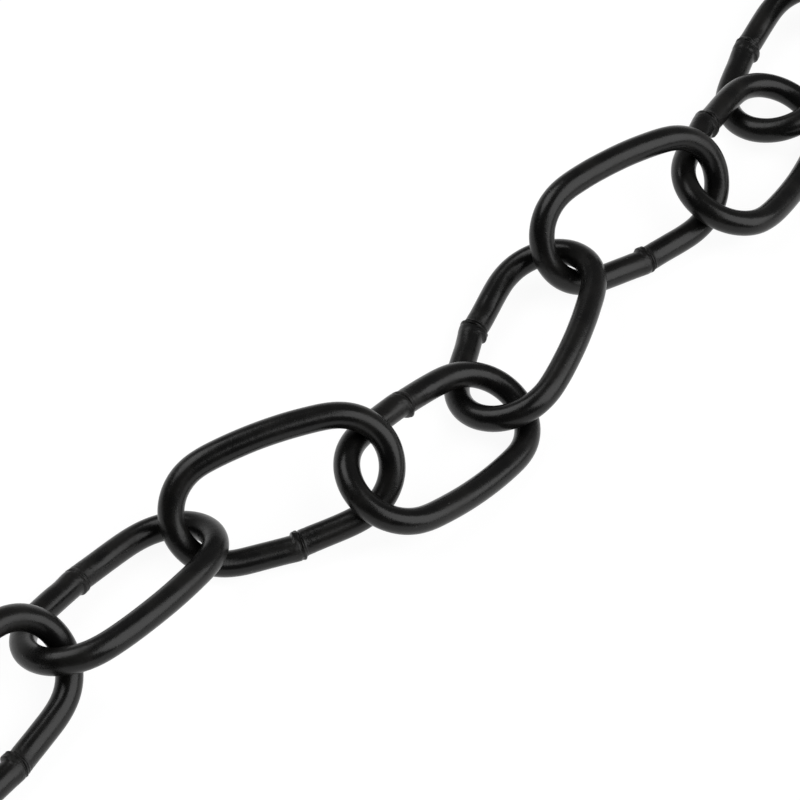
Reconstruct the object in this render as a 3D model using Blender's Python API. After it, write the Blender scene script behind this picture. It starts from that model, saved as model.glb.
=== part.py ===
"""A metre of black side-welded steel chain, lying slack on a floor. Metres, +Z up, 23 interlinked links.

Each link is one piece: round wire bent to a long oval, its ends butt-welded in the middle of one long side.
The chain enters at the lower left, runs diagonally to the upper right as the photograph shows it, and goes
on round to the right in one wide bend.
"""
import math

import bpy
import numpy as np
from collections import namedtuple
from mathutils import Euler, Vector

# The link
WIRE = 0.006               # diameter of the round wire
INSIDE_LENGTH = 0.044      # free length inside a link, which is the chain's pitch
CROWN = 0.012              # radius of the wire's centreline round each end
BOW = 0.0009               # outward bow of the plain side at its middle
KINK = 0.0009              # outward kink of the welded side at its weld
COLLAR = 0.0006            # how far the weld's collar stands out of the wire
COLLAR_HALF = 0.0011       # half the collar's width along the wire
COLLAR_FOOT = 0.0024       # where the collar has run out into the wire, from the weld's middle
CROWN_STEPS = 8            # straight stretches round one crown
SIDE_STEPS = 4             # straight stretches along the plain side

# The chain
LINKS = 23
CLEARANCE = 0.0003         # left between two wires that touch
STEP_MOST = 0.046          # where the next link's middle starts, as it is pushed back until the wires clear
STEP_LEAST = 0.034
STEP_BACK = 0.0001

# Colour and finish of the coating
BLACK = (0.018, 0.018, 0.019, 1.0)
ROUGHNESS = 0.38

# A link's lay. x and y are its middle on the floor in millimetres. The rest is in degrees: heading is the way
# the chain runs, lean lifts the link's left side, tilt lifts its leading end. weld is the side that is welded.
Lay = namedtuple("Lay", "x y heading lean tilt weld")

# Links 3 to 8 are the ones that the photograph shows, and link 9 follows them
FIRST_PLACED = 3
PLACED = (
    Lay(-58.1, -60.5, 50.5, -25, -5, "left"),
    Lay(-25.1, -35.7, 22, 47.5, 6.5, "right"),
    Lay(8.2, -19.8, 47, 17.5, -9.5, "left"),
    Lay(27.4, 13.5, 70.5, -21, 4, "left"),
    Lay(51.3, 46.2, 35.5, 56, -2, "right"),
    Lay(81.1, 70.8, 62.5, 15.5, -7, "left"),
    Lay(93.0, 103.2, 66, -16, 5.5, "left"),
)

# The other links lie in turn low and high, and the heading turns from link to link
LEAN_LOW = -19
LEAN_HIGH = 46
BEND_TURN = -18            # onwards, from the last placed one
START_TURN = 6             # backwards, from the first placed one


def ring_outline():
    """The centreline of a link as (x, y, thickness factor), welded side at +Y, leading end at +X."""
    straight = INSIDE_LENGTH / 2 + WIRE / 2 - CROWN
    points = []
    for step in range(SIDE_STEPS):
        x = -straight + 2 * straight * step / SIDE_STEPS
        points.append((x, -CROWN - BOW * (1 - (x / straight) ** 2), 1.0))
    for step in range(CROWN_STEPS + 1):
        angle = -math.pi / 2 + math.pi * step / CROWN_STEPS
        points.append((straight + CROWN * math.cos(angle), CROWN * math.sin(angle), 1.0))
    thick = 1 + COLLAR / (WIRE / 2)
    for x, factor in ((COLLAR_FOOT, 1.0), (COLLAR_HALF, thick), (-COLLAR_HALF, thick), (-COLLAR_FOOT, 1.0)):
        points.append((x, CROWN + KINK * (1 - abs(x) / straight), factor))
    for step in range(CROWN_STEPS + 1):
        angle = math.pi / 2 + math.pi * step / CROWN_STEPS
        points.append((-straight + CROWN * math.cos(angle), CROWN * math.sin(angle), 1.0))
    return points[:-1]


OUTLINE = ring_outline()


def rotation(lay):
    """The link's turn out of its own frame."""
    roll = lay.lean if lay.weld == "left" else lay.lean + 180
    return Euler((math.radians(roll), -math.radians(lay.tilt), math.radians(lay.heading)), "XYZ")


def placed(lay):
    """The link's middle, with its lowest wire or collar on the floor, and its centreline as an array of points."""
    turn = np.array(rotation(lay).to_matrix())
    line = np.array([(x, y, 0.0) for x, y, _ in OUTLINE]) @ turn.T
    underside = line[:, 2] - WIRE / 2 * np.array([factor for _, _, factor in OUTLINE])
    middle = np.array((lay.x / 1000, lay.y / 1000, -underside.min()))
    return middle, line + middle


def nearest(line, points):
    """The smallest distance from any of the points to a closed line."""
    run = np.roll(line, -1, axis=0) - line
    reach = points[:, None] - line[None]
    along = np.clip((reach * run).sum(2) / (run ** 2).sum(1), 0, 1)
    return np.sqrt(((reach - along[..., None] * run) ** 2).sum(2).min())


def wires_apart(one, other):
    """The gap between two links' wires."""
    a = placed(one)[1]
    b = placed(other)[1]
    return min(nearest(a, b), nearest(b, a)) - WIRE


def stepped(lay, turn, way):
    """The next link along (way 1) or back (way -1), drawn out until its crown all but touches."""
    bearing = math.radians(lay.heading + turn / 2)
    reach = Vector((math.cos(bearing), math.sin(bearing))) * way * 1000
    lean, weld = (LEAN_HIGH, "right") if lay.lean < 0 else (LEAN_LOW, "left")

    def at(step):
        return Lay(lay.x + step * reach.x, lay.y + step * reach.y, lay.heading + turn, lean, 0, weld)

    step = STEP_MOST
    while wires_apart(lay, at(step)) < CLEARANCE and step > STEP_LEAST:
        step -= STEP_BACK
    return at(step)


def chain_lays():
    """The lay of every link, from the chain's end at the near left."""
    lays = list(PLACED)
    for _ in range(FIRST_PLACED - 1):
        lays.insert(0, stepped(lays[0], START_TURN, -1))
    while len(lays) < LINKS:
        lays.append(stepped(lays[-1], BEND_TURN, 1))
    return lays


def coating():
    """Black semi-gloss paint."""
    material = bpy.data.materials.new("black_coating")
    material.use_nodes = True
    shader = material.node_tree.nodes["Principled BSDF"]
    shader.inputs["Base Color"].default_value = BLACK
    shader.inputs["Roughness"].default_value = ROUGHNESS
    shader.inputs["Metallic"].default_value = 0.0
    return material


def link_curve(material):
    """One closed ring of round wire with its weld collar."""
    curve = bpy.data.curves.new("link", "CURVE")
    curve.dimensions = "3D"
    curve.twist_mode = "Z_UP"
    curve.bevel_depth = WIRE / 2
    curve.bevel_resolution = 2
    spline = curve.splines.new("POLY")
    spline.points.add(len(OUTLINE) - 1)
    for point, (x, y, factor) in zip(spline.points, OUTLINE):
        point.co = (x, y, 0.0, 1.0)
        point.radius = factor
    spline.use_cyclic_u = True
    spline.use_smooth = True
    curve.materials.append(material)
    return curve


def centre_on_origin(links):
    """Moves the chain so that the middle of its box's underside is the origin."""
    bpy.context.view_layer.update()
    graph = bpy.context.evaluated_depsgraph_get()
    corners = []
    for link in links:
        mesh = bpy.data.meshes.new_from_object(link.evaluated_get(graph))
        corners += [link.matrix_world @ vertex.co for vertex in mesh.vertices]
        bpy.data.meshes.remove(mesh)
    low = Vector([min(corner[axis] for corner in corners) for axis in range(3)])
    high = Vector([max(corner[axis] for corner in corners) for axis in range(3)])
    for link in links:
        link.location -= Vector(((low.x + high.x) / 2, (low.y + high.y) / 2, low.z))


def main():
    for old in list(bpy.data.objects):
        bpy.data.objects.remove(old, do_unlink=True)
    collection = bpy.data.collections.new("steel_chain")
    bpy.context.scene.collection.children.link(collection)
    curve = link_curve(coating())
    links = []
    for number, lay in enumerate(chain_lays(), start=1):
        link = bpy.data.objects.new(f"link_{number:02d}", curve)
        link.rotation_euler = rotation(lay)
        link.location = placed(lay)[0]
        collection.objects.link(link)
        links.append(link)
    centre_on_origin(links)


main()
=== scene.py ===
"""The looks of a metre of black side-welded steel chain, lying slack on a pale floor. Metres, +Z up.

Every link is modelled again, finely, where its plain solid lies: round wire bent to a long oval, whose two
ends meet a little out of line at a butt weld. Two raised lips with a groove between them run round the weld,
and on the inner side of the link lies the flash that was squeezed out of it. The steel is painted black,
semi-gloss.
"""
import math
from collections import namedtuple

import bpy
import numpy as np
from mathutils import Matrix, Vector


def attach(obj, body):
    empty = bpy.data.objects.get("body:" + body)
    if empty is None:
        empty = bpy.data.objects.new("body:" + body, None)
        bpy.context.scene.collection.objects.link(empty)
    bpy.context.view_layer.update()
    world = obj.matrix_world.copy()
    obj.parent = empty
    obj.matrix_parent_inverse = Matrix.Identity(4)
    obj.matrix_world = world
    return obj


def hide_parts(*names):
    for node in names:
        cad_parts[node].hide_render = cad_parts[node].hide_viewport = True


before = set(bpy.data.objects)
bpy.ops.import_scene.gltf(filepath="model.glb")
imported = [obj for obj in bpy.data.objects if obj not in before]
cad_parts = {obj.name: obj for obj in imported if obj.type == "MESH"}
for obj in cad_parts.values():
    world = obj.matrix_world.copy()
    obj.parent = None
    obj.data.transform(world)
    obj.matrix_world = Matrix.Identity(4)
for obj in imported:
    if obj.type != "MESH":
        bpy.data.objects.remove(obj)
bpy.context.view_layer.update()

MM = 0.001

# The link, in millimetres, as the plain solids have it
WIRE_RADIUS = 3.0
INSIDE_LENGTH = 44.0
CROWN = 12.0               # radius of the wire's centreline round each end
BOW = 0.9                  # outward bow of the plain side at its middle
KINK = 0.9                 # outward kink of the welded side at its weld
STRAIGHT = INSIDE_LENGTH / 2 + WIRE_RADIUS - CROWN
RING = 4 * STRAIGHT + 2 * math.pi * CROWN    # about the length of wire in a link

# The wire's path, which is worked out at many close points first
LEG_POINTS = 60            # along half a side
CROWN_POINTS = 160         # round one crown
PATH_POINTS = 1024         # round the whole link
EASE = 3.0                 # how widely the path's joints of bend and straight are eased
SHARP_REACH = 5.0          # how far from the weld the path stays as it is
TANGENT_REACH = 0.25       # half the stretch over which the path's direction is taken

# The fine mesh. Steps are in millimetres along the wire.
ROUND = 56                 # points round the wire
FINE_STEP = 0.08           # at the weld
COARSE_STEP = 0.8          # far from it
FINE_REACH = 3.2           # how far the fine steps go on each side of the weld
STEP_GROWTH = 1.12         # from one step to the next, beyond that
SKIN = 0.06                # taken off the wire's radius, so that it stays in its solid's box

# The weld of one link, in millimetres. The trailing end is the one towards the chain's start.
#   place: of the weld along the wire, from the middle of the link's side
#   offset: how far the trailing end stands out beyond the leading one, away from the link's middle
#   slip: the same across the link's plane
#   slant: how much further along the wire the lips are on the outer side than on the inner
#   flash, length: height and length of the flash, which lies on the trailing end's inner side
#   turn: how far round the wire the flash's middle is from the inner side, in degrees
#   kink: how far the two ends stand out further than in the plain solid, close to the weld
Weld = namedtuple("Weld", "place offset slip slant flash length turn kink")

# The welds that the photograph shows
SEEN_WELDS = {
    3: Weld(-0.68, 0.12, 0.05, -1.1, 0.52, 1.7, 36, 0.06),
    4: Weld(0.32, 0.60, -0.05, -0.2, 0.75, 2.0, -4, 0.04),
    5: Weld(0.65, 0.10, 0.10, -1.4, 0.72, 2.0, 8, -0.42),
    6: Weld(0.50, 0.58, 0.00, 0.0, 0.85, 2.1, 24, 0.55),
    7: Weld(0.95, 0.26, 0.05, -0.5, 0.72, 2.4, -12, 0.14),
}

# The other welds are drawn at random between these two
LEAST_WELD = Weld(0.0, 0.05, -0.15, -1.1, 0.5, 1.9, -20, 0.03)
MOST_WELD = Weld(1.3, 0.6, 0.15, 0.2, 1.0, 2.9, 40, 0.14)

# The joint, in millimetres along the wire
STEP_REACH = 0.13          # about half the stretch over which one end steps to the other
OFFSET_REACH = 7.0         # how soon the two ends run together again
KINK_REACH = 4.0           # how soon the kink fades
LIP_WANDER = 0.10          # how far the lips stray to each side as they run round the wire

# Relief of the joint, in millimetres, placed along the wire from where the two ends meet: a swelling, a
# groove, a lip, the groove between the two ends, and the other lip
Swelling = namedtuple("Swelling", "place width height")
RELIEF = (
    Swelling(-1.8, 1.2, 0.10),
    Swelling(-0.62, 0.26, -0.30),
    Swelling(-0.28, 0.16, 0.16),
    Swelling(0.0, 0.10, -0.08),
    Swelling(0.24, 0.17, 0.15),
)
LIP_MEAN = 0.8             # share of the relief's height that stands on average
LIP_CHANGE = 0.4           # how much that share changes round the wire
LIP_LIMITS = (0.1, 1.5)
LIP_AT_SIDE = 0.4          # share of it on the link's outer and inner side
LIP_UNDER_FLASH = 0.1      # share of it in the middle of the flash

# The flash
FLASH_HALF = 0.66          # half its width round the wire, in radians
FLASH_RISE = 0.55          # length of its slope at the back
FLASH_END = -0.15          # middle of its slope at the lips
FLASH_FALL = 0.5           # length of that slope
CREST = 0.08               # unevenness, as a share of its height

# The bare wire, in millimetres
OVALITY = 0.05             # of the crowns: thinner in the link's plane, thicker across it
UNDULATION = 0.012         # everywhere
ROUGH_HEIGHT = 0.018       # close to the weld
ROUGH_REACH = 3.0
CROWN_FROM = STRAIGHT + 2  # from the link's middle, where the wire is half as oval as the crown
CROWN_BLEND = 6.0
MARK_PLACE = 5.6           # of the forming marks, from the weld along the wire to both sides
MARK_LENGTH = 2.0
MARK_DEPTH = 0.12
MARK_TURN = 0.4            # how far round the wire the marks are from the link's face, in radians
MARK_WIDTH = 0.25

# Random relief: the number of waves, and their shortest and longest length in millimetres
Waves = namedtuple("Waves", "count shortest longest")
WANDER_WAVES = Waves(4, 3.0, 9.0)
UNDULATION_WAVES = Waves(9, 5.0, 22.0)
CREST_WAVES = Waves(5, 1.3, 3.0)
LIP_WAVES = Waves(4, 2.5, 9.0)
ROUGH_WAVES = Waves(6, 0.9, 2.4)

# Paint. Scales are in features per millimetre, heights in millimetres. Edges are the two values of a noise,
# or of the distance from a nib's middle, between which something starts and is complete.
PAINT_DARK = (0.0036, 0.0036, 0.0036, 1.0)
PAINT_LIGHT = (0.0070, 0.0067, 0.0062, 1.0)
PAINT_IOR = 1.35
GLOSS_ROUGHNESS = 0.24
DULL_ROUGHNESS = 0.40
CLOUD_SCALE = 0.16
CLOUD_LIGHT_EDGES = (0.35, 0.7)
CLOUD_DULL_EDGES = (0.3, 0.75)
PEEL_SCALE = 0.9
PEEL_HEIGHT = 0.030
GRAIN_SCALE = 3.4
GRAIN_HEIGHT = 0.009
GRAIN_EDGES = (0.3, 0.7)
CRUST_SCALE = 1.9
CRUST_HEIGHT = 0.12
CRUST_REACH = 2.6          # how far from the weld the paint is crusted
NIB_SCALE = 0.42
NIB_HEIGHT = 0.05
NIB_EDGES = (0.05, 0.13)
NIB_CHOICE = (0.70, 0.72)  # only the cells above this have a nib
SCUFF_SCALE = 1.1
SCUFF_EDGES = (0.52, 0.66)
SCUFF_SIDE = 0.55          # cosine of the way round the wire at which the crowns are half scuffed
SCUFF_BLEND = 0.9
SCUFF_LIGHT = 0.6
MOST_DULL = 1.2            # sum of the next four, as far as they are there, at which the paint is dullest
CLOUD_DULL = 0.55
GRAIN_DULL = 0.25
WELD_DULL = 0.35
SCUFF_DULL = 0.4
LINK_APART = 200.0         # between the links in the paint's patterns, so that no two are alike

# Camera. The aim lies on the floor, given in millimetres from the middle of one link.
AIM_LINK = "link_05"
AIM_OFFSET = (-8.58, 19.86)
CAMERA_AZIMUTH = 0.36
CAMERA_ELEVATION = 51.66
CAMERA_ROLL = 1.88
CAMERA_DISTANCE = 0.7167
CLIP_START = 0.01
FOCAL_PIXELS = 3203.3
IMAGE_PIXELS = 800
SENSOR = 36.0

# Floor
FLOOR_SIZE = 30.0
FLOOR_GLOW = 0.93
FLOOR_DARK = (0.10, 0.10, 0.10, 1.0)
FLOOR_LIGHT = (0.12, 0.12, 0.12, 1.0)
FLOOR_CLOUD_SCALE = 3.0
FLOOR_ROUGHNESS = 0.9
FLOOR_SPECULAR = 0.1
WHITE = (1.0, 1.0, 1.0, 1.0)

# Light. A softbox is given by its azimuth, from the camera's side to the right, its elevation, its roll, its
# half angles across and up, and its radiance.
SOFTBOX_DISTANCE = 2.0
Softbox = namedtuple("Softbox", "azimuth elevation roll half_width half_height radiance")
SOFTBOXES = (
    Softbox(69.5, 40.5, 22.0, 26.5, 31.5, 2.90),
    Softbox(-110.0, 51.0, 20.0, 21.0, 16.0, 3.10),
)
SKY_FRONT = 0.03
SKY_BACK = 0.15
SKY_BACK_LOW = 0.60
SKY_BACK_EDGES = (-0.2, 0.6)
SKY_LOW_EDGES = (0.0, 0.4)


# Finding the links

LinkPose = namedtuple("LinkPose", "middle axes")


def link_pose(node):
    """A link's middle and its own axes, read from its plain solid: x along it, y to its welded side."""
    places = np.array([vertex.co for vertex in node.data.vertices])

    # Vertices that share a place, to the micrometre, count once
    places = np.unique(np.round(places, 6), axis=0)
    middle = places.mean(axis=0)
    axes = np.linalg.svd(places - middle, full_matrices=False)[2]
    own = (places - middle) @ axes.T
    crowns = np.abs(own[:, 0]) > (STRAIGHT + WIRE_RADIUS) * MM
    across = own[crowns, 1].mean()
    middle = middle + across * axes[1]
    reach = own[:, 1] - across
    if reach.max() < -reach.min():
        axes[1] = -axes[1]
    return LinkPose(middle, axes)


def chain_poses(nodes):
    """Every link's pose in the chain's order, each with its x axis pointing on along the chain."""
    poses = [link_pose(node) for node in nodes]
    for number, pose in enumerate(poses):
        before = poses[max(number - 1, 0)].middle
        after = poses[min(number + 1, len(poses) - 1)].middle
        if pose.axes[0] @ (after - before) < 0:
            pose.axes[0] *= -1
        pose.axes[2] = np.cross(pose.axes[0], pose.axes[1])
    return poses


# The wire's path

def sampled(places, run, path):
    """The path's points at the given places along it. run is how far along each of its own points lies."""
    return np.stack([np.interp(places, run, path[:, axis]) for axis in range(2)], axis=1)


def closed(path):
    return np.concatenate([path, path[:1]])


def ring_path():
    """The wire's centreline in the link's plane, from the weld round to the weld again, and its length."""
    leg = np.linspace(0.0, STRAIGHT, LEG_POINTS)[:-1]
    turn = np.linspace(math.pi / 2, -math.pi / 2, CROWN_POINTS)[:-1]
    side = np.linspace(STRAIGHT, 0.0, LEG_POINTS)
    x = np.concatenate([leg, STRAIGHT + CROWN * np.cos(turn), side])
    y = np.concatenate([
        CROWN + KINK * (1 - leg / STRAIGHT),
        CROWN * np.sin(turn),
        -CROWN - BOW * (1 - (side / STRAIGHT) ** 2),
    ])
    half = np.stack([x, y], axis=1)
    mirrored = (half * (-1, 1))[-2:0:-1]
    return eased(np.concatenate([half, mirrored]))


def eased(path):
    """The path at even points and its length. Its joints of bend and straight are eased, its weld is not."""
    path = closed(path)
    run = np.concatenate([[0.0], np.cumsum(np.linalg.norm(np.diff(path, axis=0), axis=1))])
    length = run[-1]
    even = np.arange(PATH_POINTS) * length / PATH_POINTS
    sharp = sampled(even, run, path)
    waves = np.fft.fftfreq(PATH_POINTS, d=length / PATH_POINTS)
    filtered = np.fft.fft(sharp, axis=0) * np.exp(-2 * (math.pi * EASE * waves[:, None]) ** 2)
    smooth = np.fft.ifft(filtered, axis=0).real
    from_weld = np.minimum(even, length - even)[:, None]
    keep = np.exp(-(from_weld / SHARP_REACH) ** 4)
    return sharp * keep + smooth * (1 - keep), length


def stations(length):
    """Places along the wire from the weld and back to it, close together near it."""
    near = np.arange(FINE_STEP / 2, FINE_REACH, FINE_STEP)
    far = []
    place = near[-1]
    step = FINE_STEP
    while place + step < length / 2:
        step = min(step * STEP_GROWTH, COARSE_STEP)
        place += step
        far.append(place)

    # The far ones are drawn in or out until the last is half a coarse step from the plain side's middle
    stretch = (length / 2 - COARSE_STEP / 2 - FINE_REACH) / (place - FINE_REACH)
    half = np.concatenate([near, FINE_REACH + (np.array(far) - FINE_REACH) * stretch])
    return np.concatenate([half, (length - half)[::-1]])


def wire_frame(places, path, length):
    """The centreline's points at the places, and its directions away from the link's middle."""
    run = np.arange(len(path) + 1) * length / len(path)
    path = closed(path)
    ahead = sampled((places + TANGENT_REACH) % length, run, path)
    behind = sampled((places - TANGENT_REACH) % length, run, path)
    tangent = ahead - behind
    tangent /= np.linalg.norm(tangent, axis=1, keepdims=True)
    outward = np.stack([-tangent[:, 1], tangent[:, 0]], axis=1)
    return sampled(places, run, path), outward


# The wire's skin

def bump(value, width):
    return np.exp(-(value / width) ** 2)


def rise(value, middle, width):
    """From 0 to 1, smoothly, as value passes middle."""
    step = np.clip((value - middle) / width + 0.5, 0, 1)
    return step * step * (3 - 2 * step)


def ripples(generator, share, around, waves):
    """Smooth random relief of about unit height. share runs round the link, around runs round the wire."""
    total = np.zeros(np.broadcast(share, around).shape)
    for _ in range(waves.count):
        rounds = round(RING / generator.uniform(waves.shortest, waves.longest))
        turns = generator.integers(0, int(2 * math.pi * WIRE_RADIUS / waves.shortest) + 1)
        phase = generator.uniform(0, 2 * math.pi)
        sign = generator.choice([-1, 1])
        total += np.cos(2 * math.pi * share * rounds + sign * turns * around + phase)
    return total / math.sqrt(waves.count)


def skin(weld, generator, along, share, around, from_lips, bend):
    """The distance of the wire's skin from its centreline. from_lips is negative on the trailing end."""
    radius = np.full(from_lips.shape, WIRE_RADIUS - SKIN)

    # Bending has drawn the crowns a little oval, and the forming tools have left shallow marks
    radius -= OVALITY * bend * np.cos(2 * around)
    radius += UNDULATION * ripples(generator, share, around, UNDULATION_WAVES)
    for side in (-1, 1):
        mark = bump(along - side * MARK_PLACE, MARK_LENGTH)
        radius -= MARK_DEPTH * mark * bump(np.sin(around - side * MARK_TURN) - 1, MARK_WIDTH)

    # The flash lies on the trailing end's inner side, from the lips back
    from_flash = np.angle(np.exp(1j * (around - math.pi - math.radians(weld.turn))))
    inner = bump(from_flash, FLASH_HALF)
    profile = rise(from_lips, -weld.length, FLASH_RISE) * (1 - rise(from_lips, FLASH_END, FLASH_FALL))
    crest = 1 + CREST * ripples(generator, share, around, CREST_WAVES)
    radius += weld.flash * profile * inner * crest

    # The swelling of the trailing end, the grooves and the two lips, which run out into the flash
    uneven = np.clip(LIP_MEAN + LIP_CHANGE * ripples(generator, 0.0, around, LIP_WAVES), *LIP_LIMITS)
    uneven = uneven * (LIP_AT_SIDE + (1 - LIP_AT_SIDE) * np.sin(around) ** 2)
    uneven = uneven * (1 - (1 - LIP_UNDER_FLASH) * inner)
    for swelling in RELIEF:
        radius += swelling.height * bump(from_lips - swelling.place, swelling.width) * uneven
    rough = bump(along, ROUGH_REACH) * ripples(generator, share, around, ROUGH_WAVES)
    return radius + ROUGH_HEIGHT * rough


def random_weld(generator):
    """A weld of which every value is drawn between the least and the most."""
    return Weld(*[generator.uniform(least, most) for least, most in zip(LEAST_WELD, MOST_WELD)])


# The link's mesh

def tube_faces(count):
    """The four-sided faces of a closed tube of count rounds of points."""
    station, corner = np.meshgrid(np.arange(count), np.arange(ROUND), indexing="ij")
    after = (station + 1) % count
    beside = (corner + 1) % ROUND
    faces = np.stack([
        station * ROUND + corner,
        station * ROUND + beside,
        after * ROUND + beside,
        after * ROUND + corner,
    ], axis=-1)
    return faces.reshape(-1, 4)


def put_attribute(mesh, name, kind, field, values):
    attribute = mesh.attributes.new(name, kind, "POINT")
    attribute.data.foreach_set(field, np.ascontiguousarray(values, np.float32).ravel())


def link_mesh(number, pose):
    """The fine mesh of one link, in place, with what its paint needs: its own coordinates and two masks."""
    generator = np.random.default_rng(number)
    weld = SEEN_WELDS.get(number) or random_weld(generator)
    path, length = ring_path()
    places = stations(length)
    centre, outward = wire_frame(places, path, length)

    # Rows run along the wire, from the weld, and columns round it, from the link's outer side
    along = np.where(places > length / 2, places - length, places)[:, None]
    around = (np.arange(ROUND) * 2 * math.pi / ROUND)[None]
    bend = rise(np.abs(centre[:, :1]), CROWN_FROM, CROWN_BLEND)
    wander = LIP_WANDER * ripples(generator, 0.0, around, WANDER_WAVES)
    from_lips = along - weld.place - weld.slant * np.cos(around) / 2 - wander
    radius = skin(weld, generator, along, along / length, around, from_lips, bend)

    # The two ends stand out of line at the weld and run together again along the wire
    shift = -0.5 * np.tanh(from_lips / STEP_REACH) * bump(from_lips, OFFSET_REACH)
    spread = weld.kink * np.exp(-np.abs(along - weld.place) / KINK_REACH)
    reach = shift * weld.offset + spread + radius * np.cos(around)
    flat = centre[:, None] + outward[:, None] * reach[..., None]
    high = shift * weld.slip + radius * np.sin(around)
    own = np.concatenate([flat, high[..., None]], axis=2).reshape(-1, 3)
    points = pose.middle + own @ pose.axes * MM

    mesh = bpy.data.meshes.new(f"chain_link_{number:02d}")
    mesh.from_pydata(points.tolist(), [], tube_faces(len(places)).tolist())
    mesh.shade_smooth()
    put_attribute(mesh, "own", "FLOAT_VECTOR", "vector", own + (0.0, 0.0, LINK_APART * number))
    crusted = np.broadcast_to(bump(along, CRUST_REACH), radius.shape)
    put_attribute(mesh, "weld", "FLOAT", "value", crusted)
    rubbed = bend * rise(np.cos(around), SCUFF_SIDE, SCUFF_BLEND)
    put_attribute(mesh, "crown", "FLOAT", "value", rubbed)
    return mesh


# Materials

class Nodes:
    """Short ways to add and join the nodes of one tree."""

    def __init__(self, tree):
        self.tree = tree

    def add(self, kind, **inputs):
        node = self.tree.nodes.new(kind)
        for name, value in inputs.items():
            self.put(node.inputs[name], value)
        return node

    def put(self, socket, value):
        if isinstance(value, bpy.types.NodeSocket):
            self.tree.links.new(value, socket)
        else:
            socket.default_value = value

    def worked_out(self, operation, first, second):
        node = self.tree.nodes.new("ShaderNodeMath")
        node.operation = operation
        self.put(node.inputs[0], first)
        self.put(node.inputs[1], second)
        return node.outputs[0]

    def sum(self, first, second):
        return self.worked_out("ADD", first, second)

    def product(self, first, second):
        return self.worked_out("MULTIPLY", first, second)

    def spread(self, value, edges, to_low=0.0, to_high=1.0):
        """From to_low to to_high, smoothly, as value passes from the first edge to the second."""
        node = self.tree.nodes.new("ShaderNodeMapRange")
        node.interpolation_type = "SMOOTHSTEP"
        for socket, given in zip(node.inputs, (value, *edges, to_low, to_high)):
            self.put(socket, given)
        return node.outputs[0]

    def noise(self, place, scale, detail, roughness=0.5):
        node = self.add("ShaderNodeTexNoise", Vector=place, Scale=scale, Detail=detail, Roughness=roughness)
        return node.outputs["Fac"]

    def attribute(self, name, output):
        node = self.tree.nodes.new("ShaderNodeAttribute")
        node.attribute_name = name
        return node.outputs[output]

    def mix_colour(self, share, first, second):
        node = self.tree.nodes.new("ShaderNodeMix")
        node.data_type = "RGBA"

        # Sockets 6 and 7, and output 2, are the colours
        self.put(node.inputs["Factor"], share)
        self.put(node.inputs[6], first)
        self.put(node.inputs[7], second)
        return node.outputs[2]


def black_paint():
    """Semi-gloss black enamel: orange peel, grain, a few nibs, a crust at the weld, dull rubbed crowns."""
    material = bpy.data.materials.new("black_paint")
    material.use_nodes = True
    nodes = Nodes(material.node_tree)
    shader = material.node_tree.nodes["Principled BSDF"]
    own = nodes.attribute("own", "Vector")
    weld = nodes.attribute("weld", "Fac")
    crown = nodes.attribute("crown", "Fac")

    clouds = nodes.noise(own, CLOUD_SCALE, 4.0)
    peel = nodes.noise(own, PEEL_SCALE, 2.0)
    grain = nodes.noise(own, GRAIN_SCALE, 3.0, 0.6)
    cells = nodes.add("ShaderNodeTexVoronoi", Vector=own, Scale=NIB_SCALE)
    here = nodes.add("ShaderNodeSeparateColor", Color=cells.outputs["Color"]).outputs[0]
    chosen = nodes.spread(here, NIB_CHOICE)
    nib = nodes.product(nodes.spread(cells.outputs["Distance"], NIB_EDGES, 1.0, 0.0), chosen)
    scuff = nodes.spread(nodes.noise(own, SCUFF_SCALE, 5.0, 0.65), SCUFF_EDGES)
    scuff = nodes.product(scuff, crown)
    crust = nodes.product(nodes.noise(own, CRUST_SCALE, 4.0, 0.6), weld)

    lightness = nodes.sum(nodes.spread(clouds, CLOUD_LIGHT_EDGES), nodes.product(scuff, SCUFF_LIGHT))
    nodes.put(shader.inputs["Base Color"], nodes.mix_colour(lightness, PAINT_DARK, PAINT_LIGHT))
    shader.inputs["Metallic"].default_value = 0.0
    shader.inputs["IOR"].default_value = PAINT_IOR

    dull = nodes.spread(clouds, CLOUD_DULL_EDGES, 0.0, CLOUD_DULL)
    dull = nodes.sum(dull, nodes.spread(grain, GRAIN_EDGES, 0.0, GRAIN_DULL))
    dull = nodes.sum(dull, nodes.product(weld, WELD_DULL))
    dull = nodes.sum(dull, nodes.product(scuff, SCUFF_DULL))
    roughness = nodes.spread(dull, (0.0, MOST_DULL), GLOSS_ROUGHNESS, DULL_ROUGHNESS)
    nodes.put(shader.inputs["Roughness"], roughness)

    relief = nodes.sum(nodes.product(peel, PEEL_HEIGHT), nodes.product(grain, GRAIN_HEIGHT))
    relief = nodes.sum(relief, nodes.product(nib, NIB_HEIGHT))
    relief = nodes.sum(relief, nodes.product(crust, CRUST_HEIGHT))
    surface = nodes.add("ShaderNodeBump", Height=relief, Distance=MM, Strength=1.0)
    nodes.put(shader.inputs["Normal"], surface.outputs[0])
    return material


def floor_material():
    """Plain floor, dark in itself, whose own glow makes it nearly white, as on a light table."""
    material = bpy.data.materials.new("pale_floor")
    material.use_nodes = True
    nodes = Nodes(material.node_tree)
    shader = material.node_tree.nodes["Principled BSDF"]
    place = nodes.add("ShaderNodeTexCoord").outputs["Object"]
    shade = nodes.noise(place, FLOOR_CLOUD_SCALE, 2.0)
    nodes.put(shader.inputs["Base Color"], nodes.mix_colour(shade, FLOOR_DARK, FLOOR_LIGHT))
    shader.inputs["Roughness"].default_value = FLOOR_ROUGHNESS
    shader.inputs["Specular IOR Level"].default_value = FLOOR_SPECULAR
    shader.inputs["Emission Color"].default_value = WHITE
    shader.inputs["Emission Strength"].default_value = FLOOR_GLOW
    return material


# The studio

def add_floor():
    bpy.ops.mesh.primitive_plane_add(size=FLOOR_SIZE, location=(0, 0, 0))
    floor = bpy.context.object
    floor.name = "floor"
    floor.data.materials.append(floor_material())


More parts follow.
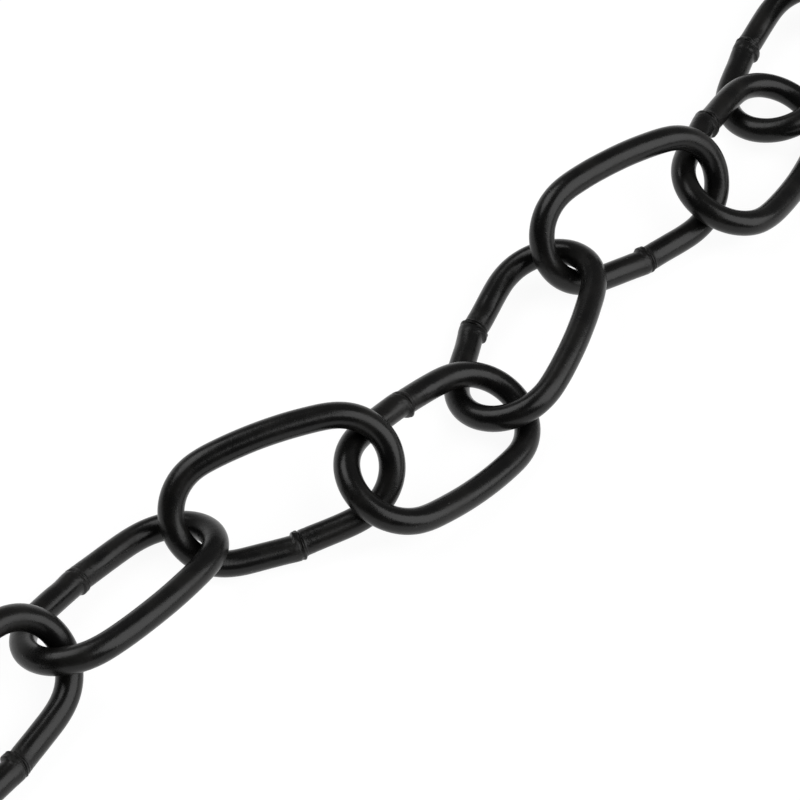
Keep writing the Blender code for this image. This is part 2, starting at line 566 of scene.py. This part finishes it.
def add_softbox(softbox):
    """One large soft light, which faces the object and doesn't show."""
    light = bpy.data.lights.new("softbox", "AREA")
    light.shape = "RECTANGLE"
    light.size = 2 * SOFTBOX_DISTANCE * math.tan(math.radians(softbox.half_width))
    light.size_y = 2 * SOFTBOX_DISTANCE * math.tan(math.radians(softbox.half_height))
    light.energy = softbox.radiance * math.pi * light.size * light.size_y
    holder = bpy.data.objects.new("softbox", light)
    bpy.context.scene.collection.objects.link(holder)
    azimuth = math.radians(softbox.azimuth)
    elevation = math.radians(softbox.elevation)
    away = Vector((
        math.sin(azimuth) * math.cos(elevation),
        -math.cos(azimuth) * math.cos(elevation),
        math.sin(elevation),
    ))
    holder.location = away * SOFTBOX_DISTANCE
    facing = (-away).to_track_quat("-Z", "Y").to_matrix()
    holder.rotation_euler = (facing @ Matrix.Rotation(math.radians(softbox.roll), 3, "Z")).to_euler()
    holder.visible_camera = False


def add_sky():
    """Dim surroundings: nearly black on the camera's side, and lighter low at the back."""
    world = bpy.data.worlds.new("studio")
    world.use_nodes = True
    nodes = Nodes(world.node_tree)
    background = world.node_tree.nodes["Background"]
    direction = nodes.add("ShaderNodeTexCoord").outputs["Generated"]
    parts = nodes.add("ShaderNodeSeparateXYZ", Vector=direction).outputs
    back = nodes.spread(parts["Y"], SKY_BACK_EDGES)
    backdrop = nodes.spread(parts["Z"], SKY_LOW_EDGES, SKY_BACK_LOW, SKY_BACK)
    strength = nodes.sum(nodes.product(back, backdrop), SKY_FRONT)
    nodes.put(background.inputs["Strength"], strength)
    background.inputs["Color"].default_value = WHITE
    bpy.context.scene.world = world


def add_camera(aim):
    azimuth = math.radians(CAMERA_AZIMUTH)
    elevation = math.radians(CAMERA_ELEVATION)
    roll = math.radians(CAMERA_ROLL)
    forward = Vector((
        math.sin(azimuth) * math.cos(elevation),
        math.cos(azimuth) * math.cos(elevation),
        -math.sin(elevation),
    ))
    level = Vector((math.cos(azimuth), -math.sin(azimuth), 0.0))
    upright = level.cross(forward)
    right = level * math.cos(roll) + upright * math.sin(roll)
    up = upright * math.cos(roll) - level * math.sin(roll)
    camera = bpy.data.cameras.new("camera")
    camera.sensor_width = SENSOR
    camera.lens = FOCAL_PIXELS / IMAGE_PIXELS * SENSOR
    camera.clip_start = CLIP_START
    holder = bpy.data.objects.new("camera", camera)
    bpy.context.scene.collection.objects.link(holder)
    turn = Matrix((right, up, -forward)).transposed().to_4x4()
    holder.matrix_world = Matrix.Translation(aim - forward * CAMERA_DISTANCE) @ turn
    bpy.context.scene.camera = holder


def add_link(number, name, pose, paint):
    """One fine link in the place of its plain solid."""
    mesh = link_mesh(number, pose)
    mesh.materials.append(paint)
    link = bpy.data.objects.new(f"chain_link_{number:02d}", mesh)
    bpy.context.scene.collection.objects.link(link)
    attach(link, "root")
    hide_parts(name)


def main():
    names = sorted(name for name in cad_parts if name.startswith("link_"))
    poses = dict(zip(names, chain_poses([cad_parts[name] for name in names])))
    middle = poses[AIM_LINK].middle
    add_camera(Vector((middle[0] + AIM_OFFSET[0] * MM, middle[1] + AIM_OFFSET[1] * MM, 0.0)))
    paint = black_paint()
    for number, name in enumerate(names, start=1):
        add_link(number, name, poses[name], paint)
    add_floor()
    for softbox in SOFTBOXES:
        add_softbox(softbox)
    add_sky()
    bpy.context.scene.view_settings.view_transform = "Standard"


main()
